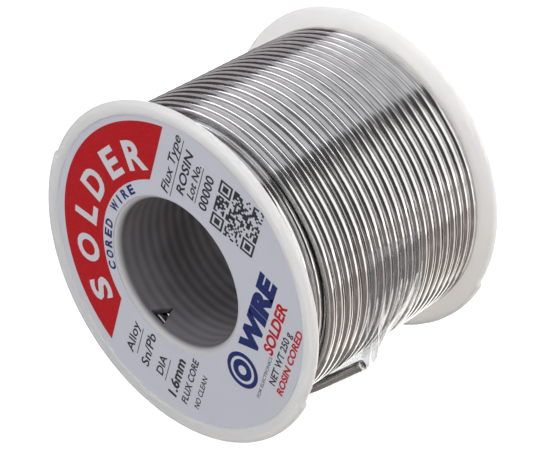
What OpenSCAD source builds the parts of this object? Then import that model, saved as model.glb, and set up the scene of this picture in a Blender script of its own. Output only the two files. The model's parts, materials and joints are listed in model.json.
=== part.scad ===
// Solder wire spool: two moulded flanges on a thin barrel, a ring label on the front flange,
// flux-cored solder wire wound in level layers, its cut end held down by a strip of clear tape.
// The spool's axis is Y. The labelled front flange faces -Y and +Z is up.
// The origin is the centre of the bore, midway between the two outer faces.

/* [Spool] */
// Outer diameter of both flanges
flange_d = 53; // [50:0.5:60]
// Width over both flanges
spool_w = 41; // [38:0.5:50]
// Diameter of the bore through the barrel
bore_d = 23; // [18:0.5:24]
// Wall of the barrel
barrel_wall = 1.2; // [1:0.1:2]
// Rounding of the bore's two mouths
mouth_round = 0.9; // [0.4:0.1:1]
// Thickness of a flange at its rounded rim
flange_t = 1.4; // [1.2:0.1:2]
// How much the mould's two halves differ in radius at the rims
mould_step = 0.4; // [0.1:0.1:0.6]
// Direction of the mould's parting plane, from +X towards +Z
parting_angle = 156; // [0:1:359]

/* [Wire start window] */
// Width of the triangular window along the front flange
window_w = 2.9; // [2:0.1:4]
// Length of the window along the barrel
window_l = 3.4; // [2:0.1:5]
// Direction of the window, from +X towards +Z
window_angle = -117; // [-180:1:180]

/* [Label] */
// Outer diameter of the paper ring
label_d = 48; // [44:0.5:49]
// Diameter of its hole
label_hole_d = 24.7; // [24.5:0.1:28]
// Thickness of the paper
label_t = 0.12; // [0.1:0.02:0.2]
// Depth of the recess that the label lies in
recess = 0.35; // [0.2:0.05:0.5]
// How far the punched hole is off the label's centre
hole_shift = 0.3; // [0:0.05:0.4]
// Direction of that shift, from +X towards +Z
hole_shift_angle = -130; // [-180:1:180]

/* [Wire] */
// Diameter of the solder wire
wire_d = 1.6; // [1:0.1:2]
// Diameter of the flux core inside it
core_d = 0.5; // [0.3:0.05:0.7]
// Turns in the outer layer
outer_turns = 20; // [10:1:20]
// Diameter over the outer layer
pack_d = 47; // [44:0.5:49]
// Distance from the front face to the outer layer's first turn
outer_start = 7.3; // [6:0.1:9]
// Radial step from one layer to the next
layer_step = 1.55; // [1.4:0.05:1.6]

/* [Free end] */
// Direction from the axis at which the free end leaves the winding
end_angle = -48; // [-90:1:0]
// Distance from the front face at which it leaves
end_start = 14; // [10:0.1:18]
// Length that stands free
end_l = 7.6; // [5:0.1:14]
// How far it drifts towards the rear flange per unit of its run
end_drift = 0.2; // [0:0.05:0.6]

/* [Tape] */
// Width of the clear tape
tape_w = 12; // [8:0.5:18]
// Distance from the front face to the tape's middle
tape_middle = 20.3; // [14:0.1:30]
// Thickness of the tape
tape_t = 0.1; // [0.05:0.05:0.2]
// Direction of the tape's upper edge, from +X towards +Z
tape_top = 14; // [-5:1:30]
// Direction of its lower edge
tape_bottom = -100; // [-160:1:-80]

/* [Hidden] */

$fn = 128;
gap = 0.02;                           // play between neighbours that only rest on each other
cut = 1;                              // overshoot of every cutting tool
front_y = -spool_w / 2;               // the front flange's outer face
flange_r = flange_d / 2;
bore_r = bore_d / 2;
barrel_r = bore_r + barrel_wall;
barrel_l = spool_w - 2 * recess;
rim_r = flange_t / 2;                 // the rim's edge is fully round
recess_r = label_d / 2 + 0.1;
wire_r = wire_d / 2;
pack_r = pack_d / 2;
outer_r = pack_r - wire_r;            // radius of the outer layer's centreline
under_r = outer_r - layer_step;       // radius of the layer below it
winding_front = flange_t + gap;       // distances from the front face
winding_rear = spool_w - flange_t - gap;
outer_end = winding_rear - wire_r;
pitch = (outer_end - outer_start) / (outer_turns - 1);
under_turns = floor((outer_start - wire_r - winding_front) / pitch);
end_r = pack_r + wire_r + gap;        // radius at which the free end crosses the outer layer
end_run = end_l * cos(atan(end_drift));
play = 0.05;                          // between the tape and what it covers
tape_r = pack_r + play;               // inside of the tape
tip_a = end_angle + atan((end_run + play) / (end_r + wire_r));
foot_a = end_angle - 1;

white = [0.90, 0.89, 0.86];
paper = [0.80, 0.81, 0.86];
tin = [0.66, 0.66, 0.67];

// Puts a solid that was revolved about Z on the spool's axis, counted from the front face.
module on_axis() {
    translate([0, front_y, 0]) rotate([-90, 0, 0]) children();
}

// Section of a flange: a thin web, and a full rim with a round edge.
module flange_section(r) {
    translate([barrel_r, recess]) square([r - rim_r - barrel_r, flange_t - recess]);
    translate([recess_r, 0]) square([r - rim_r - recess_r, flange_t]);
    intersection() {
        translate([r - rim_r, rim_r]) circle(r = rim_r);
        translate([r - rim_r - gap, 0]) square([rim_r + cut, flange_t]);
    }
}

// A flange is two half turns, because the mould's halves differ a little in radius.
module flange() {
    rotate([0, 0, -parting_angle]) {
        rotate_extrude(angle = 180) flange_section(flange_r - mould_step);
        rotate([0, 0, 180]) rotate_extrude(angle = 180) flange_section(flange_r);
    }
}

module front_flange() {
    color(white) on_axis() flange();
}

module rear_flange() {
    color(white) mirror([0, 1, 0]) on_axis() flange();
}

// Wedge that rounds one mouth of the bore.
module mouth_cut() {
    rotate_extrude() difference() {
        translate([bore_r - cut, -cut]) square([mouth_round + cut, mouth_round + cut]);
        translate([bore_r + mouth_round, mouth_round]) circle(r = mouth_round);
        translate([bore_r, mouth_round]) square([mouth_round + cut, cut]);
    }
}

// Triangle whose base lies along the front flange and whose tip points to the rear.
module window_cut() {
    rotate([0, 0, -window_angle]) translate([0, 0, flange_t]) rotate([0, 90, 0])
        linear_extrude(barrel_r + cut)
            polygon([[gap, -window_w / 2], [gap, window_w / 2], [-window_l, 0]]);
}

// The barrel ends level with the flanges' recesses, so the label lies over its front edge.
module barrel() {
    color(white) on_axis() difference() {
        translate([0, 0, recess]) cylinder(r = barrel_r, h = barrel_l);
        translate([0, 0, -cut]) cylinder(r = bore_r, h = spool_w + 2 * cut);
        translate([0, 0, recess]) mouth_cut();
        translate([0, 0, recess + barrel_l]) mirror([0, 0, 1]) mouth_cut();
        window_cut();
    }
}

module front_label() {
    color(paper) on_axis() translate([0, 0, recess - label_t]) difference() {
        cylinder(d = label_d, h = label_t);
        translate([hole_shift * cos(hole_shift_angle), -hole_shift * sin(hole_shift_angle), -cut])
            cylinder(d = label_hole_d, h = label_t + 2 * cut);
    }
}

// Section of the winding: solid below the outer layer's centreline, one round ridge per turn.
module winding_section() {
    translate([barrel_r + gap, winding_front])
        square([under_r - barrel_r - gap, winding_rear - winding_front]);
    translate([under_r - gap, outer_start - wire_r])
        square([outer_r - under_r + gap, winding_rear - outer_start + wire_r]);
    for (i = [0 : outer_turns - 1])
        translate([outer_r, outer_start + i * pitch]) circle(r = wire_r);
    for (i = [0 : under_turns - 1])
        translate([under_r, winding_front + wire_r + i * pitch]) circle(r = wire_r);
}

module solder_winding() {
    color(tin) on_axis() rotate_extrude() winding_section();
}

// Places its children at the start of the free end, with +Z along the wire.
module along_free_end() {
    translate([end_r * cos(end_angle), front_y + end_start, end_r * sin(end_angle)])
        rotate([0, -end_angle, 0]) rotate([-atan(end_drift), 0, 0]) children();
}

module free_end() {
    color(tin) along_free_end() difference() {
        cylinder(r = wire_r, h = end_l);
        translate([0, 0, -cut]) cylinder(d = core_d, h = end_l + 2 * cut);
    }
}

module flux_core() {
    color("darkgoldenrod") along_free_end() cylinder(d = core_d, h = end_l);
}

// Radius at direction a of the straight line just outside the free end, t beyond the play.
function over_wire(a, t) = (end_r + wire_r + play + t) / cos(a - end_angle);

// Radius at direction a of a tape that leaves a round of radius r for a corner in direction c.
function tent(a, r, c, corner_r) =
    let (side = acos(r / corner_r), off = abs(a - c))
    off < side ? r / cos(side - off) : r;

// Radius of the tape's inside (t = 0) or outside: round the winding and over the free end.
function tape_radius(a, t) =
    a > tip_a ? tent(a, tape_r + t, tip_a, over_wire(tip_a, t)) :
    a < foot_a ? tent(a, tape_r + t, foot_a, over_wire(foot_a, t)) : over_wire(a, t);

function steps(from, to, n) = [for (i = [0 : n - 1]) from + (to - from) * i / n];

module clear_tape() {
    angles = concat(steps(tape_top, tip_a, 14), [tip_a], steps(foot_a, tape_bottom, 14), [tape_bottom]);
    inside = [for (a = angles) tape_radius(a, 0) * [cos(a), sin(a)]];
    outside = [for (a = angles) tape_radius(a, tape_t) * [cos(a), sin(a)]];
    color([0.9, 0.9, 0.85, 0.4])
        translate([0, front_y + tape_middle + tape_w / 2, 0]) rotate([90, 0, 0])
            linear_extrude(tape_w)
                polygon(concat(inside, [for (i = [len(outside) - 1 : -1 : 0]) outside[i]]));
}

front_flange();
rear_flange();
barrel();
front_label();
solder_winding();
free_end();
flux_core();
clear_tape();
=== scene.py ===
"""A spool of flux-cored solder wire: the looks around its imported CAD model.

The frame is the CAD's own: the spool's axis is Y, the labelled flange faces -Y, +Z is up, and the
origin is the centre of the bore. Lengths here are millimetres until make_mesh() scales them.
"""

import json
import math
import random

import bpy
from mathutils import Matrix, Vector


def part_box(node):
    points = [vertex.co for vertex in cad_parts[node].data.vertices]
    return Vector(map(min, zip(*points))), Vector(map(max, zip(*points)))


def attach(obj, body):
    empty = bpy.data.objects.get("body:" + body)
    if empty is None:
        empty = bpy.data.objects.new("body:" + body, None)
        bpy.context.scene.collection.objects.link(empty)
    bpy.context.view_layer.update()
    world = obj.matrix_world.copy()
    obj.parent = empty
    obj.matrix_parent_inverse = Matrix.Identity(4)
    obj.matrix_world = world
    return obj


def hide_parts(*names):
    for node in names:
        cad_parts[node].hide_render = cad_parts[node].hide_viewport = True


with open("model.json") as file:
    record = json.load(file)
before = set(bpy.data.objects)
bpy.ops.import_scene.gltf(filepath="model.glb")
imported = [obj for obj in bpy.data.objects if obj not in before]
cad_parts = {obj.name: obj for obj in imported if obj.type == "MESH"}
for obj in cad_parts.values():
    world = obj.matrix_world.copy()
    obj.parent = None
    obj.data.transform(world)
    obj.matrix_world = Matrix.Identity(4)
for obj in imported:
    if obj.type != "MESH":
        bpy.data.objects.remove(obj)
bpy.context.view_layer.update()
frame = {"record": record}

MM = 0.001
TAU = 2 * math.pi


# ---------------------------------------------------------------- sizes taken from the frame

def box_mm(node):
    low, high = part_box(node)
    return Vector(low) / MM, Vector(high) / MM


flange_low, flange_high = box_mm("front_flange")
barrel_low, barrel_high = box_mm("barrel")
label_low, label_high = box_mm("front_label")
tape_low, tape_high = box_mm("clear_tape")
rear_high = box_mm("rear_flange")[1]
winding_high = box_mm("solder_winding")[1]

FRONT_Y = flange_low.y
WIDTH = rear_high.y - FRONT_Y
FLANGE_T = flange_high.y - flange_low.y
FLANGE_R = -flange_low.z
BARREL_R = barrel_high.x
RECESS = barrel_low.y - FRONT_Y
BORE_R = next(m for m in frame["record"]["mounts"] if m["name"] == "bore")["dims"]["r_mm"]
LABEL_R = (label_high.x - label_low.x) / 2
PACK_R = winding_high.x

# The same design values as the CAD model's, for what its boxes don't tell.
MOULD_STEP = 0.4
PARTING = 156                # degrees, from +X towards +Z
MOUTH_ROUND = 0.9
RECESS_R = LABEL_R + 0.1
WIRE_R = 0.8
CORE_R = 0.25
OUTER_TURNS = 20
OUTER_START = 7.3
END_ANGLE = -48
END_START = 14
END_L = 7.6
END_DRIFT = 0.2
PLAY = 0.02                  # between the free end and the turns that it crosses
END_R = PACK_R + WIRE_R + PLAY
WINDOW_ANGLE = -117
WINDOW_W = 2.9
WINDOW_L = 3.4
HOLE_R = 12.35
HOLE_SHIFT = 0.3
HOLE_SHIFT_ANGLE = -130


# ---------------------------------------------------------------- mesh helpers

def make_mesh(name, verts, faces, material, smooth=True):
    """A mesh object from vertices in millimetres."""
    mesh = bpy.data.meshes.new(name)
    mesh.from_pydata([tuple(c * MM for c in v) for v in verts], [], faces)
    mesh.validate()
    mesh.update()
    if smooth:
        mesh.polygons.foreach_set("use_smooth", [True] * len(mesh.polygons))
    mesh.materials.append(material)
    piece = bpy.data.objects.new(name, mesh)
    bpy.context.scene.collection.objects.link(piece)
    return piece


def sharpen(piece, degrees):
    """Edges that bend by more than this many degrees are shaded as edges."""
    piece.data.set_sharp_from_angle(angle=math.radians(degrees))


def settle(piece, slot, *replaced):
    """The piece rides on the only body and stands for CAD nodes, which it hides; slot is not used."""
    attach(piece, "root")
    if replaced:
        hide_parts(*replaced)


def on_spool(r, degrees, s):
    """A point at radius r, direction degrees and distance s from the front face."""
    a = math.radians(degrees)
    return (r * math.cos(a), FRONT_Y + s, r * math.sin(a))


def arc(cx, cy, r, start, end, count):
    """Points of a section's rounding, from angle start to angle end in degrees."""
    angles = [math.radians(start + (end - start) * i / count) for i in range(count + 1)]
    return [(cx + r * math.cos(a), cy + r * math.sin(a)) for a in angles]


def lathe(name, section, directions, material, radius_at=None):
    """Turns a closed section of (r, s) points about the axis through a list of directions."""
    n, m = len(directions), len(section)
    verts = []
    for d in directions:
        for r, s in section:
            verts.append(on_spool(radius_at(r, d) if radius_at else r, d, s))
    faces = []
    for i in range(n):
        for j in range(m):
            a, b = i * m + j, i * m + (j + 1) % m
            c, d = ((i + 1) % n) * m + (j + 1) % m, ((i + 1) % n) * m + j
            faces.append((a, b, c, d))
    return make_mesh(name, verts, faces, material)


def smooth_step(t):
    t = min(1.0, max(0.0, t))
    return t * t * (3 - 2 * t)


# ---------------------------------------------------------------- material helpers

class Nodes:
    """Short calls for building a node material."""

    def __init__(self, name):
        self.material = bpy.data.materials.new(name)
        self.material.use_nodes = True
        self.tree = self.material.node_tree
        self.shader = self.tree.nodes["Principled BSDF"]
        self.output = self.tree.nodes["Material Output"]

    def add(self, kind, inputs=None, **settings):
        node = self.tree.nodes.new(kind)
        for key, value in settings.items():
            setattr(node, key, value)
        for key, value in (inputs or {}).items():
            self.feed(node.inputs[key], value)
        return node

    def feed(self, socket, value):
        if isinstance(value, bpy.types.NodeSocket):
            self.tree.links.new(value, socket)
        else:
            socket.default_value = value

    def set(self, **values):
        for key, value in values.items():
            self.feed(self.shader.inputs[key.replace("_", " ")], value)

    def place(self):
        return self.add("ShaderNodeTexCoord").outputs["Object"]

    def noise(self, scale, detail=3.0, roughness=0.5, vector=None):
        node = self.add("ShaderNodeTexNoise",
                        {"Scale": scale, "Detail": detail, "Roughness": roughness})
        self.tree.links.new(vector or self.place(), node.inputs["Vector"])
        return node.outputs["Fac"]

    def spread(self, value, low, high, from_low=0.3, from_high=0.7):
        """Maps a value onto low to high."""
        node = self.add("ShaderNodeMapRange",
                        {"Value": value, "From Min": from_low, "From Max": from_high,
                         "To Min": low, "To Max": high})
        return node.outputs["Result"]

    def blend(self, factor, a, b):
        node = self.add("ShaderNodeMix", data_type="RGBA")
        self.feed(node.inputs["Factor"], factor)
        self.feed(node.inputs["A"], (*a, 1.0))
        self.feed(node.inputs["B"], (*b, 1.0))
        return node.outputs["Result"]

    def math(self, operation, a, b=0.0):
        node = self.add("ShaderNodeMath", operation=operation)
        self.feed(node.inputs[0], a)
        self.feed(node.inputs[1], b)
        return node.outputs["Value"]

    def bump(self, height, distance, strength=1.0):
        node = self.add("ShaderNodeBump",
                        {"Height": height, "Distance": distance, "Strength": strength})
        return node.outputs["Normal"]

    def around_axis(self, along):
        """A place vector that hardly changes round the axis, for marks that run along the wire."""
        xyz = self.add("ShaderNodeSeparateXYZ", {"Vector": self.place()})
        x, y, z = xyz.outputs
        squares = self.math("ADD", self.math("MULTIPLY", x, x), self.math("MULTIPLY", z, z))
        r = self.math("SQRT", squares)
        turn = self.math("MULTIPLY", self.math("ARCTAN2", z, x), along)
        return self.add("ShaderNodeCombineXYZ", {"X": r, "Y": y, "Z": turn}).outputs["Vector"]


def plastic(name, tint, see_in):
    """Milky white moulded plastic with faint flow clouds."""
    n = Nodes(name)
    clouds = n.noise(120, 3)
    grain = n.noise(2500, 2)
    n.set(Base_Color=n.blend(n.spread(clouds, 0, 1), tint, tuple(0.965 * c for c in tint)),
          Roughness=n.spread(clouds, 0.28, 0.38), Normal=n.bump(grain, 0.00001, 0.5))
    n.set(IOR=1.5, Subsurface_Weight=see_in)
    n.set(Subsurface_Radius=(1.0, 0.96, 0.9), Subsurface_Scale=4 * MM)
    return n.material


def thin_wall_plastic_painted_shade():
    """The barrel's plastic where it is thin over dark wire, with painted shade: dark grey, with painted
    stripes of the inner turns, and painted lighter towards the mouths.
    """
    stripe_pitch = 1.69
    end = WIDTH / 2
    n = Nodes("barrel_plastic_painted_shade")
    xyz = n.add("ShaderNodeSeparateXYZ", {"Vector": n.place()})
    from_middle = n.math("ABSOLUTE", xyz.outputs["Y"])
    # painted light: the wall turns lighter within 11 mm of each mouth
    painted_light_near_mouths = n.spread(from_middle, 0.0, 0.65, (end - 11) * MM, (end - 1.5) * MM)
    mouth = n.spread(from_middle, 0.0, 1.0, (end - 1.1) * MM, (end - 0.3) * MM)
    # painted shade: dark stripes at the turns' pitch, where the wire behind the thin wall would show
    # through
    turns = n.math("SINE", n.math("MULTIPLY", xyz.outputs["Y"], TAU / (stripe_pitch * MM)))
    clouds = n.noise(150, 3)
    painted_turn_stripes = n.math("ADD", n.math("MULTIPLY", turns, 0.22), n.spread(clouds, 0.1, 0.5))
    # painted shade: near black to dark grey, for the dark wire seen through the wall and the shade deep
    # in the bore
    inner = n.blend(n.math("ADD", painted_turn_stripes, painted_light_near_mouths), (0.12, 0.108, 0.114), (0.30, 0.29, 0.31))
    colour = n.add("ShaderNodeMix", data_type="RGBA")
    n.feed(colour.inputs["Factor"], mouth)
    n.feed(colour.inputs["A"], inner)
    n.feed(colour.inputs["B"], (0.72, 0.71, 0.71, 1.0))
    n.set(Base_Color=colour.outputs["Result"], Roughness=n.spread(clouds, 0.3, 0.42))
    n.set(IOR=1.5)
    return n.material


def solder():
    """Bright drawn tin-lead wire: fine die lines along its run, and soft patches of dullness."""
    n = Nodes("solder")
    lines = n.noise(5200, 3, vector=n.around_axis(0.0006))
    patches = n.noise(350, 3)
    n.set(Base_Color=n.blend(n.spread(patches, 0, 1), (0.66, 0.655, 0.655), (0.56, 0.55, 0.555)),
          Roughness=n.math("ADD", n.spread(lines, 0.07, 0.14), n.spread(patches, 0.0, 0.04)),
          Normal=n.bump(lines, 0.00001, 0.8))
    n.set(Metallic=1.0)
    return n.material


def paper():
    """Coated white paper with a trace of fibre."""
    n = Nodes("label_paper")
    fibre = n.noise(3500, 4)
    clouds = n.noise(90, 2)
    n.set(Base_Color=n.blend(n.spread(clouds, 0, 1), (0.71, 0.73, 0.80), (0.68, 0.70, 0.775)),
          Roughness=n.spread(fibre, 0.42, 0.55), Normal=n.bump(fibre, 0.00001, 0.5))
    return n.material


def ink(name, colour):
    """Printing ink, a little uneven where the paper shows through."""
    n = Nodes(name)
    speckle = n.noise(5000, 3)
    lighter = tuple(c + 0.03 * (1 - c) for c in colour)
    n.set(Base_Color=n.blend(n.spread(speckle, 0, 1, 0.45, 0.75), colour, lighter),
          Roughness=n.spread(speckle, 0.4, 0.5))
    return n.material


def rosin():
    """Amber flux, a little cloudy."""
    n = Nodes("rosin")
    clouds = n.noise(900, 2)
    n.set(Base_Color=n.blend(n.spread(clouds, 0, 1), (0.42, 0.24, 0.06), (0.30, 0.16, 0.04)),
          Roughness=n.spread(clouds, 0.2, 0.35))
    return n.material


def film():
    """Clear tape: see-through with a trace of haze, and a gloss that shows along its creases."""
    n = Nodes("clear_film")
    smear = n.noise(600, 3)
    n.tree.nodes.remove(n.shader)
    clear = n.add("ShaderNodeBsdfTransparent", {"Color": (0.94, 0.945, 0.95, 1)})
    haze = n.add("ShaderNodeBsdfDiffuse", {"Color": (0.74, 0.77, 0.80, 1)})
    gloss = n.add("ShaderNodeBsdfGlossy",
                  {"Color": (1, 1, 1, 1), "Roughness": n.spread(smear, 0.08, 0.2)})
    body = n.add("ShaderNodeMixShader", {0: n.spread(smear, 0.02, 0.06), 1: clear.outputs[0],
                                         2: haze.outputs[0]})
    slope = n.add("ShaderNodeLayerWeight", {"Blend": 0.5}).outputs["Facing"]
    sheen = n.add("ShaderNodeMapRange", {"Value": slope, "From Min": 0.4, "From Max": 1.0,
                                         "To Min": 0.04, "To Max": 0.45}).outputs["Result"]
    mix = n.add("ShaderNodeMixShader", {0: sheen, 1: body.outputs[0], 2: gloss.outputs[0]})
    n.tree.links.new(mix.outputs[0], n.output.inputs["Surface"])
    return n.material


def studio_white(name, glow):
    """A pale surface that is bright by itself, so it comes out an even white."""
    n = Nodes(name)
    clouds = n.noise(3, 2)
    n.set(Base_Color=n.blend(clouds, (0.93, 0.93, 0.93), (0.95, 0.95, 0.95)), Roughness=0.9)
    n.set(Emission_Color=(1, 1, 1, 1), Emission_Strength=glow)
    return n.material


# ---------------------------------------------------------------- spool

def parting_directions():
    """Directions round a flange: even steps, and close ones at the two parting lines."""
    count, close_step = 180, 0.25
    even = [360 * i / count for i in range(count)]
    close = [(PARTING + half + close_step * i) % 360 for half in (0, 180) for i in range(-3, 4)]
    return sorted(set(even + close))


def mould_radius(r, direction):
    """The rim's radius: one half of the mould is a little smaller than the other."""
    rim_start, rim_blend = 0.9, 0.6
    from_parting = (PARTING - direction) % 360
    inside = min(from_parting, 180 - from_parting)
    share = smooth_step((r - RECESS_R - rim_start) / rim_blend)
    return r - MOULD_STEP * share * smooth_step(0.5 + inside)


def flange_section(flip):
    """A flange's section: the label's recess, a fine line turned in the rim, and its round edge."""
    round_r = FLANGE_T / 2
    inner_r = BARREL_R + 0.01
    fillet, lip_r, line_depth = 0.12, 0.16, 0.05
    face = [(inner_r, RECESS), (RECESS_R - fillet, RECESS)]
    face += arc(RECESS_R - fillet, RECESS - fillet, fillet, 90, 0, 4)[1:]
    face += arc(RECESS_R + lip_r, lip_r, lip_r, 180, 270, 4)
    face += [(RECESS_R + 1.05, 0.0), (RECESS_R + 1.15, line_depth)]
    face += [(RECESS_R + 1.28, line_depth), (RECESS_R + 1.38, 0.0)]
    face += arc(FLANGE_R - round_r, round_r, round_r, -90, 90, 14)
    face += [(RECESS_R, FLANGE_T), (inner_r, FLANGE_T)]
    return [(r, WIDTH - s) for r, s in reversed(face)] if flip else face


def make_flange(node, flip, material):
    section = flange_section(flip)
    flange = lathe(node + "_disc", section, parting_directions(), material, mould_radius)
    sharpen(flange, 40)
    settle(flange, "spool_plastic", node)


def make_barrel(material):
    """Thin tube with rounded mouths, and the triangular window cut through it."""
    end = WIDTH - RECESS
    count = 160
    section = [(BARREL_R, RECESS), (BARREL_R, end)]
    section += arc(BORE_R + MOUTH_ROUND, end - MOUTH_ROUND, MOUTH_ROUND, 90, 180, 8)
    section += arc(BORE_R + MOUTH_ROUND, RECESS + MOUTH_ROUND, MOUTH_ROUND, 180, 270, 8)
    tube = lathe("barrel_tube", section, [360 * i / count for i in range(count)], material)
    a = math.radians(WINDOW_ANGLE)
    outward = Vector((math.cos(a), 0, math.sin(a)))
    sideways = Vector((-math.sin(a), 0, math.cos(a)))
    base_y = FRONT_Y + FLANGE_T + 0.02
    corners = [(base_y, -WINDOW_W / 2), (base_y, WINDOW_W / 2), (base_y + WINDOW_L, 0)]
    cutter_reach = (5, 15)       # radii well inside and well outside the barrel's wall
    verts = [outward * r + sideways * w + Vector((0, y, 0))
             for r in cutter_reach for y, w in corners]
    faces = [(0, 1, 2), (5, 4, 3), (0, 3, 4, 1), (1, 4, 5, 2), (2, 5, 3, 0)]
    cutter = make_mesh("window_cutter", verts, faces, material, smooth=False)
    cut = tube.modifiers.new("window", "BOOLEAN")
    cut.operation, cut.object, cut.solver = "DIFFERENCE", cutter, "EXACT"
    evaluated = tube.evaluated_get(bpy.context.evaluated_depsgraph_get())
    tube.data = bpy.data.meshes.new_from_object(evaluated)
    tube.modifiers.clear()
    bpy.data.objects.remove(cutter)
    sharpen(tube, 40)
    settle(tube, "spool_plastic", "barrel")


# ---------------------------------------------------------------- solder wire

INNER_LAYERS = 6
CLIMB = 0.3                  # turns over which the wire climbs to the next layer
LAYER_TURNS = 22
FIRST_R = BARREL_R + WIRE_R + 0.15
TOP_R = PACK_R - WIRE_R
LAYER_STEP = (TOP_R - FIRST_R) / INNER_LAYERS
FRONT_S = FLANGE_T + WIRE_R + 0.06
REAR_S = WIDTH - FRONT_S
TOP_END_ANGLE = -150         # where the outer layer's last turn starts to cross over
CROSS_DEGREES = END_ANGLE - TOP_END_ANGLE
LOOSE = REAR_S - OUTER_START - 2 * WIRE_R * (OUTER_TURNS - 1)
LOOSE_TURNS = 7              # turns at the front that share that slack
WIRE_SIDES = 14


def top_layer_s(turns_from_front):
    """Distance from the front face along the outer layer: loose at first, then tight."""
    return (OUTER_START + 2 * WIRE_R * (turns_from_front - 0.5)
            + LOOSE * smooth_step((turns_from_front - 0.5) / LOOSE_TURNS))


def wander(turn):
    """How far a turn strays along and away from the axis: slow sines, so neighbours stray alike."""
    along = 0.05 * math.sin(TAU * turn * 0.93 + 1) + 0.03 * math.sin(TAU * turn * 2.11)
    out = 0.025 * math.sin(TAU * turn * 1.07) + 0.02 * math.sin(TAU * turn * 3.03 + 2)
    return along, out


def wire_route():
    """The wound wire as (radius, turns, s) samples, from its start on the barrel.

    Layers that hardly show have fewer samples to a turn.
    """
    hidden_samples, next_to_top_samples, top_samples, cross_samples = 28, 64, 96, 32
    route = []
    total = INNER_LAYERS * LAYER_TURNS + OUTER_TURNS
    first_turn = TOP_END_ANGLE / 360 - total
    for layer in range(INNER_LAYERS):
        per_turn = next_to_top_samples if layer == INNER_LAYERS - 1 else hidden_samples
        start_s, end_s = (REAR_S, FRONT_S) if layer % 2 == 0 else (FRONT_S, REAR_S)
        radius = FIRST_R + LAYER_STEP * layer
        for i in range(LAYER_TURNS * per_turn):
            t = i / per_turn
            across = min(1.0, t / (LAYER_TURNS - CLIMB))
            climb = smooth_step((t - LAYER_TURNS + CLIMB) / CLIMB)
            route.append((radius + LAYER_STEP * climb, first_turn + layer * LAYER_TURNS + t,
                          start_s + (end_s - start_s) * across))
    for i in range(OUTER_TURNS * top_samples):
        t = i / top_samples
        along, out = wander(t)
        calm = smooth_step(t) * smooth_step((OUTER_TURNS - t) * 2)
        route.append((TOP_R + out * calm, TOP_END_ANGLE / 360 - OUTER_TURNS + t,
                      top_layer_s(OUTER_TURNS - t) + along * calm))
    cross_s = top_layer_s(0)
    for i in range(cross_samples):
        t = i / cross_samples
        rise = smooth_step(t / 0.45)
        route.append((TOP_R + (END_R - TOP_R) * rise, (TOP_END_ANGLE + CROSS_DEGREES * t) / 360,
                      cross_s + (END_START - cross_s) * t * t))
    return route


def straight_end():
    """Points and outward directions of the end that stands off the winding."""
    a = math.radians(END_ANGLE)
    start = Vector(on_spool(END_R, END_ANGLE, END_START))
    run = Vector((-math.sin(a), END_DRIFT, math.cos(a))).normalized()
    count = 8
    return [start + run * (END_L * i / count) for i in range(count + 1)], run


def add_ring(verts, centre, outward, side, radius):
    for k in range(WIRE_SIDES):
        a = TAU * k / WIRE_SIDES
        verts.append(centre + outward * (radius * math.cos(a)) + side * (radius * math.sin(a)))


def ring_faces(rings):
    """Faces of a closed round bar through this many rings of points."""
    faces = []
    for i in range(rings - 1):
        for k in range(WIRE_SIDES):
            a, b = i * WIRE_SIDES + k, i * WIRE_SIDES + (k + 1) % WIRE_SIDES
            faces.append((a, b, b + WIRE_SIDES, a + WIRE_SIDES))
    faces.append(tuple(range(WIRE_SIDES - 1, -1, -1)))
    faces.append(tuple(range((rings - 1) * WIRE_SIDES, rings * WIRE_SIDES)))
    return faces


def make_wire(material, core_material):
    """The whole wire as one tube, with a recess at its cut end that the flux core fills."""
    chamfer, core_recess = 0.05, 0.6
    points = [Vector(on_spool(r, turns * 360, s)) for r, turns, s in wire_route()]
    end_points, run = straight_end()
    bend = len(points)
    points += end_points
    count = len(points)
    a = math.radians(END_ANGLE)
    outward_end = Vector((math.cos(a), 0, math.sin(a)))
    verts = []
    for i, p in enumerate(points):
        tangent = (points[min(i + 1, count - 1)] - points[max(i - 1, 0)]).normalized()
        outward = outward_end if i >= bend else Vector((p.x, 0, p.z)).normalized()
        outward = (outward - tangent * outward.dot(tangent)).normalized()
        side = tangent.cross(outward)
        add_ring(verts, p, outward, side, WIRE_R)
    tip = points[-1]
    add_ring(verts, tip + run * chamfer, outward, side, WIRE_R - chamfer)
    add_ring(verts, tip + run * chamfer, outward, side, CORE_R)
    add_ring(verts, tip - run * core_recess, outward, side, CORE_R)
    wire = make_mesh("solder_wire", verts, ring_faces(count + 3), material)
    sharpen(wire, 50)

    core_verts = []
    for along, radius in ((-0.55, CORE_R - 0.01), (0.0, CORE_R - 0.01), (0.06, CORE_R * 0.7)):
        add_ring(core_verts, tip + run * along, outward, side, radius)
    core = make_mesh("rosin_core", core_verts, ring_faces(3), core_material)
    settle(core, "flux", "flux_core")
    settle(wire, "solder", "solder_winding", "free_end")


# ---------------------------------------------------------------- label

LABEL_TURN = 73              # the print's up direction, degrees from +Z, anticlockwise from the front
CAP = 0.73                   # height of a capital of the built-in font at size 1
PRINT_T = 0.008              # half thickness of the ink
ON_PAPER = 0.012             # height of the ink's middle above the paper
ON_INK = 0.03                # the same for ink over other ink
ICON_X, ICON_Y = 5.9, 15.2   # how far left of and below the label's centre the icon is


def label_point(x, y, lift):
    """A point of the print: x to its right, y up, lift above the paper."""
    c, s = math.cos(math.radians(LABEL_TURN)), math.sin(math.radians(LABEL_TURN))
    return (x * c - y * s, label_low.y - lift, x * s + y * c)


def as_drawn(x, y):
    return x, y


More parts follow.
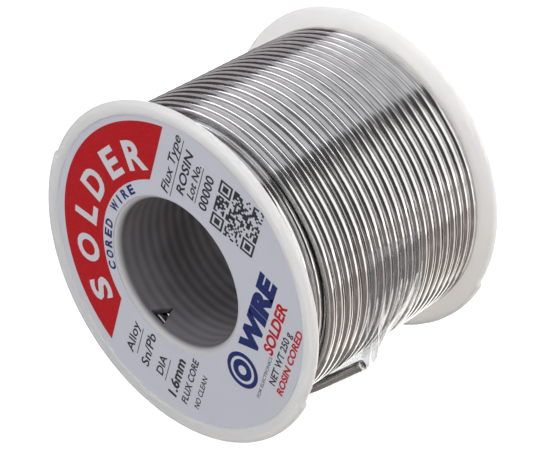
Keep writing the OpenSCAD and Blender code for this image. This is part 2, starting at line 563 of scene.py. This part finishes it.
class Print:
    """Flat print of one ink, gathered into one mesh."""

    def __init__(self, lift):
        self.verts, self.faces, self.lift = [], [], lift

    def add(self, points, faces, place):
        base = len(self.verts)
        for x, y, z in points:
            px, py = place(x, y)
            self.verts.append(label_point(px, py, self.lift + z))
        self.faces += [tuple(base + i for i in f) for f in faces]

    def slab(self, outline, place=as_drawn):
        """A closed flat solid with this outline, anticlockwise."""
        n = len(outline)
        points = [(x, y, z) for z in (-PRINT_T, PRINT_T) for x, y in outline]
        faces = [tuple(range(n - 1, -1, -1)), tuple(range(n, 2 * n))]
        faces += [(i, (i + 1) % n, n + (i + 1) % n, n + i) for i in range(n)]
        self.add(points, faces, place)

    def strip(self, outer, inner):
        """A closed flat solid between two rows of points of equal length."""
        n = len(outer)
        points = [(x, y, z) for z in (-PRINT_T, PRINT_T)
                  for row in (outer, inner) for x, y in row]
        faces = []
        for i in range(n - 1):
            a, b, c, d = i, i + 1, n + i + 1, n + i
            faces += [(d, c, b, a), (2 * n + a, 2 * n + b, 2 * n + c, 2 * n + d)]
            faces += [(a, b, 2 * n + b, 2 * n + a), (c, d, 2 * n + d, 2 * n + c)]
        faces += [(0, 2 * n, 3 * n, n), (n - 1, 2 * n - 1, 4 * n - 1, 3 * n - 1)]
        self.add(points, faces, as_drawn)

    def glyphs(self, text, bold, slant, place):
        """Lettering from the built-in font at size 1, with its own x and y passed through place."""
        curve = bpy.data.curves.new("lettering", "FONT")
        curve.body, curve.offset, curve.shear = text, bold, slant
        curve.resolution_u = 4
        curve.extrude = PRINT_T
        holder = bpy.data.objects.new("lettering", curve)
        bpy.context.scene.collection.objects.link(holder)
        evaluated = holder.evaluated_get(bpy.context.evaluated_depsgraph_get())
        mesh = bpy.data.meshes.new_from_object(evaluated)
        points = [tuple(v.co) for v in mesh.vertices]
        low = min(p[0] for p in points)
        high = max(p[0] for p in points)
        self.add(points, [tuple(p.vertices) for p in mesh.polygons],
                 lambda x, y: place((x - low) / (high - low), y / CAP))
        bpy.data.objects.remove(holder)
        bpy.data.curves.remove(curve)
        bpy.data.meshes.remove(mesh)

    def line(self, text, left, right, base, height, bold=0.0, slant=0.0):
        """A line of text that fills left to right."""
        self.glyphs(text, bold, slant, lambda u, v: (left + (right - left) * u, base + height * v))

    def letter(self, text, direction, base_r, width, height, bold=0.0):
        """One letter of a word set on an arc, its foot towards the centre."""
        a = math.radians(direction)

        def place(u, v):
            x, y = (u - 0.5) * width, base_r + height * v
            return (y * math.cos(a) + x * math.sin(a), y * math.sin(a) - x * math.cos(a))

        self.glyphs(text, bold, 0.0, place)

    def rule(self, left, right, y, thickness=0.12):
        self.slab([(left, y), (right, y), (right, y + thickness), (left, y + thickness)])

    def piece(self, name, material):
        settle(make_mesh(name, self.verts, self.faces, material, smooth=False), "label_paper")


def arc_xy(r, start, end, count, cx=0.0):
    angles = [math.radians(start + (end - start) * i / count) for i in range(count + 1)]
    return [(cx + r * math.cos(a), r * math.sin(a)) for a in angles]


def make_label_paper(material):
    """Paper ring whose hole is punched a little off centre."""
    a = math.radians(HOLE_SHIFT_ANGLE)
    cx, cz = HOLE_SHIFT * math.cos(a), HOLE_SHIFT * math.sin(a)
    count = 192
    near, far = label_low.y, label_high.y
    bevel_r, bevel_y = 0.03, 0.02
    rings = ((LABEL_R, 0, 0, far), (LABEL_R, 0, 0, near + bevel_y), (LABEL_R - bevel_r, 0, 0, near),
             (HOLE_R + bevel_r, cx, cz, near), (HOLE_R, cx, cz, near + bevel_y), (HOLE_R, cx, cz, far))
    verts = []
    for r, dx, dz, y in rings:
        for i in range(count):
            t = TAU * i / count
            verts.append((dx + r * math.cos(t), y, dz + r * math.sin(t)))
    faces = []
    for j in range(len(rings)):
        here, there = j * count, ((j + 1) % len(rings)) * count
        for i in range(count):
            k = (i + 1) % count
            faces.append((here + i, here + k, there + k, there + i))
    paper_ring = make_mesh("label_ring", verts, faces, material)
    sharpen(paper_ring, 30)
    settle(paper_ring, "label_paper", "front_label")


def make_red_print(material):
    """The band round the upper part, whose foot is level, and two red lines below the word."""
    red = Print(ON_PAPER)
    foot = 8.2
    outer_r, inner_r, shift = 22.85, 14.55, 0.5
    outer_end = math.degrees(math.asin(foot / outer_r))
    inner_end = math.degrees(math.asin(foot / inner_r))
    count = 64
    red.strip(arc_xy(outer_r, outer_end, 180 - outer_end, count, shift),
              arc_xy(inner_r, inner_end, 180 - inner_end, count))
    red.line("SOLDER", 0.5, 10.1, -19.0, 1.75, 0.035, 0.1)
    red.line("ROSIN CORED", -4.6, 8.2, -22.5, 1.1, 0.035, 0.1)
    red.piece("label_print_red", material)


def make_white_print(material):
    """The word on the red band, letter by letter along its arc."""
    white = Print(ON_INK)
    foot_r, height = 16.1, 4.4
    widths = {"S": 3.5, "O": 4.6, "L": 3.2, "D": 4.1, "E": 3.4, "R": 4.1}
    directions = (137.5, 116.5, 96.0, 78.0, 58.5, 40.5)
    for text, direction in zip("SOLDER", directions):
        white.letter(text, direction, foot_r, widths[text], height, 0.035)
    white.piece("label_print_white", material)


def at_icon(x, y):
    return x - ICON_X, y - ICON_Y


def make_blue_print(material, white_material):
    """The words along the bore's edge, the big word, and the plain icon of rings before it."""
    blue = Print(ON_PAPER)
    first, step, foot_r, height = 124, 7.7, 12.85, 1.4
    for i, text in enumerate("CORED WIRE"):
        if text != " ":
            width = {"I": 0.4, "W": 1.75}.get(text, 1.3)
            blue.letter(text, first - step * i, foot_r, width, height, 0.04)
    blue.line("WIRE", -2.0, 12.4, -16.3, 3.0, 0.07, 0.1)
    blue.slab(arc_xy(2.9, 0, 360, 63), at_icon)
    blue.piece("label_print_blue", material)
    icon = Print(ON_INK)
    icon.strip(*[[at_icon(x, y) for x, y in arc_xy(r, 0, 360, 48)] for r in (2.2, 1.75)])
    icon.slab(arc_xy(0.75, 0, 360, 31), at_icon)
    icon.piece("label_icon_white", white_material)


def make_black_print(material):
    """The small lines, each by its left, right, foot and height, then its weight and slant."""
    black = Print(ON_PAPER)
    black.line("Flux Type", 12.1, 22.5, 4.75, 1.45, 0.012, 0.2)
    black.rule(12.1, 22.4, 4.15)
    black.line("ROSIN", 13.8, 21.5, 2.1, 1.45, 0.02, 0.12)
    black.line("Lot No.", 14.3, 20.6, 0.35, 1.25, 0.018, 0.2)
    black.rule(14.3, 20.7, -0.15)
    black.line("00000", 14.2, 20.3, -2.2, 1.5, 0.018)
    black.line("Alloy", -19.9, -13.7, 3.8, 1.5, 0.012)
    black.rule(-19.3, -13.9, 2.95)
    black.line("Sn/Pb", -20.1, -13.3, 0.45, 1.6, 0.012)
    black.line("DIA", -19.3, -15.4, -2.4, 1.4, 0.016)
    black.rule(-19.6, -15.1, -3.15)
    black.line("1.6mm", -21.0, -13.2, -5.7, 1.7, 0.03)
    black.line("FLUX CORE", -20.5, -11.2, -7.9, 1.2, 0.02)
    black.line("NO CLEAN", -19.5, -12.7, -10.1, 0.95, 0.012)
    black.line("FOR ELECTRONICS", -8.1, 0.3, -19.2, 0.55)
    black.line("NET WT 250 g", -4.0, 6.6, -20.9, 1.15, 0.02)
    make_code_block(black)
    black.piece("label_print_black", material)


def make_code_block(black):
    """A square of seeded random cells with three corner marks. It encodes nothing."""
    cells, side, left, low = 25, 8.1, 13.2, -11.35
    mark = 7                     # cells along a corner mark
    size = side / cells
    draw = random.Random(7)
    filled = [[draw.random() < 0.5 for _ in range(cells)] for _ in range(cells)]
    for mx, my in ((0, cells - mark), (cells - mark, cells - mark), (0, 0)):
        for x in range(max(0, mx - 1), min(cells, mx + mark + 1)):
            for y in range(max(0, my - 1), min(cells, my + mark + 1)):
                ring = max(abs(x - mx - 3), abs(y - my - 3))
                filled[y][x] = ring in (3, 1, 0)
    for y, row in enumerate(filled):
        x = 0
        while x < cells:
            run = x
            while run < cells and row[run]:
                run += 1
            if run > x:
                a, b = left + x * size, left + run * size
                c, d = low + y * size, low + (y + 1) * size
                black.slab([(a, c), (b, c), (b, d), (a, d)])
            x = run + 1


# ---------------------------------------------------------------- tape

TAPE_PLAY = 0.06             # between the tape and what it covers
TAPE_FOOT = -104             # direction of the tape's lower edge
CREASES = (                  # distance from the front face, direction, length in degrees, lean, height
    (19.5, -20, 13, 0.10, 0.55),
    (22.5, -14, 9, 0.22, 0.45),
    (17.5, -28, 10, -0.05, 0.45),
    (24.5, -24, 10, 0.12, 0.4),
)


def tape_top(s):
    """Direction of the tape's upper edge, which is torn at a slant."""
    return 16.5 - 0.35 * (s - 14) + 0.2 * math.sin(s * 9) + 0.25 * math.sin(s * 2.3)


def tent_radius(direction):
    """Radius of a tape pulled straight over the free end."""
    foot = END_ANGLE - 1
    tip = END_ANGLE + math.degrees(math.atan((END_L - 0.1) / (END_R + WIRE_R)))

    def over(a):
        return (END_R + WIRE_R + TAPE_PLAY) / math.cos(math.radians(a - END_ANGLE))

    if foot <= direction <= tip:
        return over(direction)
    corner = tip if direction > tip else foot
    side = math.degrees(math.acos(PACK_R / over(corner)))
    off = abs(direction - corner)
    return PACK_R / math.cos(math.radians(side - off)) if off < side else PACK_R


def tape_radius(direction, s):
    """Radius of the tape's inside: on the turns, over the free end, and with a few creases."""
    run = END_R * math.tan(math.radians(min(22.0, max(-5.0, direction - END_ANGLE))))
    wire_s = END_START + END_DRIFT * run
    near = math.exp(-(max(0.0, abs(s - wire_s) - 0.9) / 2.6) ** 2)
    lift = (tent_radius(direction) - PACK_R) * near
    creases = 0.0
    for c_s, c_a, length, lean, height in CREASES:
        along = (direction - c_a) / length
        across = (s - c_s - lean * (direction - c_a)) / 0.45
        creases += height * math.exp(-along ** 2 - across ** 2)
    ripple = 0.03 * math.sin(TAU * (s - top_layer_s(0.5)) / 1.66 + 0.5)
    return PACK_R + TAPE_PLAY + ripple + lift + creases


def make_tape(material):
    """A strip with a toothed lower edge: its inner skin, its outer skin and the edge between them."""
    rows, columns, thickness = 120, 72, 0.06
    start, end = tape_low.y - FRONT_Y, tape_high.y - FRONT_Y
    verts = []
    for extra in (0, thickness):
        for j in range(columns + 1):
            s = start + (end - start) * j / columns
            for i in range(rows + 1):
                low = TAPE_FOOT + 0.6 * abs((j % 4) - 2)
                direction = tape_top(s) + (low - tape_top(s)) * i / rows
                verts.append(on_spool(tape_radius(direction, s) + extra, direction, s))
    row = rows + 1
    layer = row * (columns + 1)
    faces = []
    for j in range(columns):
        for i in range(rows):
            a, d = j * row + i, (j + 1) * row + i
            b, c = a + 1, d + 1
            faces += [(d, c, b, a), (layer + a, layer + b, layer + c, layer + d)]
    edge = [(j * row, (j + 1) * row) for j in range(columns)]
    edge += [(columns * row + i, columns * row + i + 1) for i in range(rows)]
    edge += [((j + 1) * row + rows, j * row + rows) for j in reversed(range(columns))]
    edge += [(i + 1, i) for i in reversed(range(rows))]
    faces += [(a, b, layer + b, layer + a) for a, b in edge]
    tape = make_mesh("clear_tape_strip", verts, faces, material)
    sharpen(tape, 50)
    settle(tape, "tape", "clear_tape")


# ---------------------------------------------------------------- studio

AZIMUTH = math.radians(42.2)
ELEVATION = math.radians(32.1)
RIGHT = Vector((math.cos(AZIMUTH), math.sin(AZIMUTH), 0))
AHEAD = Vector((-math.sin(AZIMUTH) * math.cos(ELEVATION), math.cos(AZIMUTH) * math.cos(ELEVATION),
                -math.sin(ELEVATION)))
UP = RIGHT.cross(AHEAD)


def make_camera():
    """A long lens at the product photographer's three-quarter view."""
    distance, off_right, off_up = 280.4, 0.39, -0.91
    data = bpy.data.cameras.new("camera")
    data.lens = 125
    data.sensor_width = 36
    data.clip_start = 0.01
    data.clip_end = 20
    camera = bpy.data.objects.new("camera", data)
    camera.location = (RIGHT * off_right + UP * off_up - AHEAD * distance) * MM
    camera.rotation_euler = AHEAD.to_track_quat("-Z", "Y").to_euler()
    bpy.context.scene.collection.objects.link(camera)
    bpy.context.scene.camera = camera


def only_for_camera(piece):
    """Part of the stage that is seen, but neither lights the spool nor shows in its metal."""
    piece.visible_glossy = False
    piece.visible_diffuse = False
    piece.visible_transmission = False
    piece.visible_shadow = False


def make_floor(material):
    half = 3000
    z = -FLANGE_R
    corners = [(-half, -half, z), (half, -half, z), (half, half, z), (-half, half, z)]
    only_for_camera(make_mesh("floor", corners, [(0, 1, 2, 3)], material))


def make_backdrop(material):
    """A pale dome over the floor, which low views see behind the spool."""
    rows, columns, radius = 10, 40, 2900
    verts = []
    for i in range(rows + 1):
        height = math.radians(90 * i / rows - 2)
        for j in range(columns):
            a = TAU * j / columns
            verts.append((radius * math.cos(height) * math.cos(a),
                          radius * math.cos(height) * math.sin(a), radius * math.sin(height)))
    faces = []
    for i in range(rows):
        for j in range(columns):
            k = (j + 1) % columns
            faces.append((i * columns + j, (i + 1) * columns + j, (i + 1) * columns + k, i * columns + k))
    faces.append(tuple(range(rows * columns, (rows + 1) * columns)))
    only_for_camera(make_mesh("backdrop", verts, faces, material))


def toward(azimuth, elevation):
    """Direction by degrees from -Y towards +X, and degrees above the horizon."""
    a, e = math.radians(azimuth), math.radians(elevation)
    return Vector((math.sin(a) * math.cos(e), -math.cos(a) * math.cos(e), math.sin(e)))


def soft_box(name, azimuth, elevation, wide, high, radiance, colour=(1, 1, 1), seen_by="all"):
    """A soft box that faces the spool, by the degrees it spans and its brightness as it is seen.

    One seen by matt surfaces leaves no reflection in the metal, and one seen by gloss lights
    nothing else.
    """
    distance = 0.8
    direction = toward(azimuth, elevation)
    data = bpy.data.lights.new(name, "AREA")
    data.shape = "RECTANGLE"
    data.size, data.size_y = [2 * distance * math.tan(math.radians(a / 2)) for a in (wide, high)]
    data.energy = radiance * math.pi * data.size * data.size_y
    data.color = colour
    lamp = bpy.data.objects.new(name, data)
    lamp.location = direction * distance
    lamp.rotation_euler = (-direction).to_track_quat("-Z", "Y").to_euler()
    lamp.visible_glossy = seen_by != "matt"
    lamp.visible_diffuse = seen_by != "gloss"
    lamp.visible_camera = False
    bpy.context.scene.collection.objects.link(lamp)
    return lamp


def make_lights():
    world = bpy.data.worlds.new("studio")
    world.use_nodes = True
    background = world.node_tree.nodes["Background"]
    background.inputs["Color"].default_value = (0.95, 0.95, 1.0, 1)
    background.inputs["Strength"].default_value = 0.07
    bpy.context.scene.world = world
    ceiling = soft_box("ceiling", 216, 62, 66, 88, 0.66, (0.97, 0.975, 1.0))
    ceiling.rotation_euler = (0, 0, 0)       # it hangs level
    soft_box("front_box", -20, 21, 56, 42, 2.3, (0.97, 0.98, 1.0))
    soft_box("side_box", 117, 26, 62, 50, 1.5, (1.0, 0.985, 0.96))
    soft_box("side_middle", 108, -5, 42, 24, 1.15, (1.0, 0.96, 0.92), seen_by="gloss")
    soft_box("side_strip", 103, -34, 24, 62, 0.95, (1.0, 0.92, 0.86), seen_by="gloss")
    soft_box("front_right", 14, 12, 16, 26, 0.5)
    soft_box("front_low", 50, -14, 84, 34, 0.18, (1.0, 0.84, 0.73))
    soft_box("left_panel", 235, 20, 58, 54, 0.46, (1.0, 0.93, 0.95))
    soft_box("table", 40, -62, 120, 66, 0.2, (1.0, 0.84, 0.73))
    soft_box("table_behind", -162, -50, 66, 50, 1.8, (1.0, 0.985, 0.93), seen_by="gloss")
    soft_box("side_fill", 50, 4, 34, 50, 0.8, (0.97, 0.98, 1.0), seen_by="matt")
    soft_box("rear_fill", 177, 1, 18, 18, 31.0, (1.0, 0.97, 0.945), seen_by="matt")


# ---------------------------------------------------------------- the scene

make_camera()

white_plastic = plastic("spool_plastic", (0.95, 0.94, 0.93), 1.0)
make_wire(solder(), rosin())
make_flange("front_flange", False, white_plastic)
make_flange("rear_flange", True, white_plastic)
make_barrel(thin_wall_plastic_painted_shade())

make_label_paper(paper())
make_red_print(ink("ink_red", (0.56, 0.0, 0.006)))
make_white_print(ink("ink_white", (0.74, 0.75, 0.80)))
make_blue_print(ink("ink_blue", (0.008, 0.022, 0.16)), ink("icon_white", (0.72, 0.73, 0.79)))
make_black_print(ink("ink_black", (0.025, 0.025, 0.03)))

make_tape(film())

make_floor(studio_white("studio_floor", 0.97))
make_backdrop(studio_white("studio_backdrop", 1.0))
make_lights()
bpy.context.scene.view_settings.view_transform = "Standard"
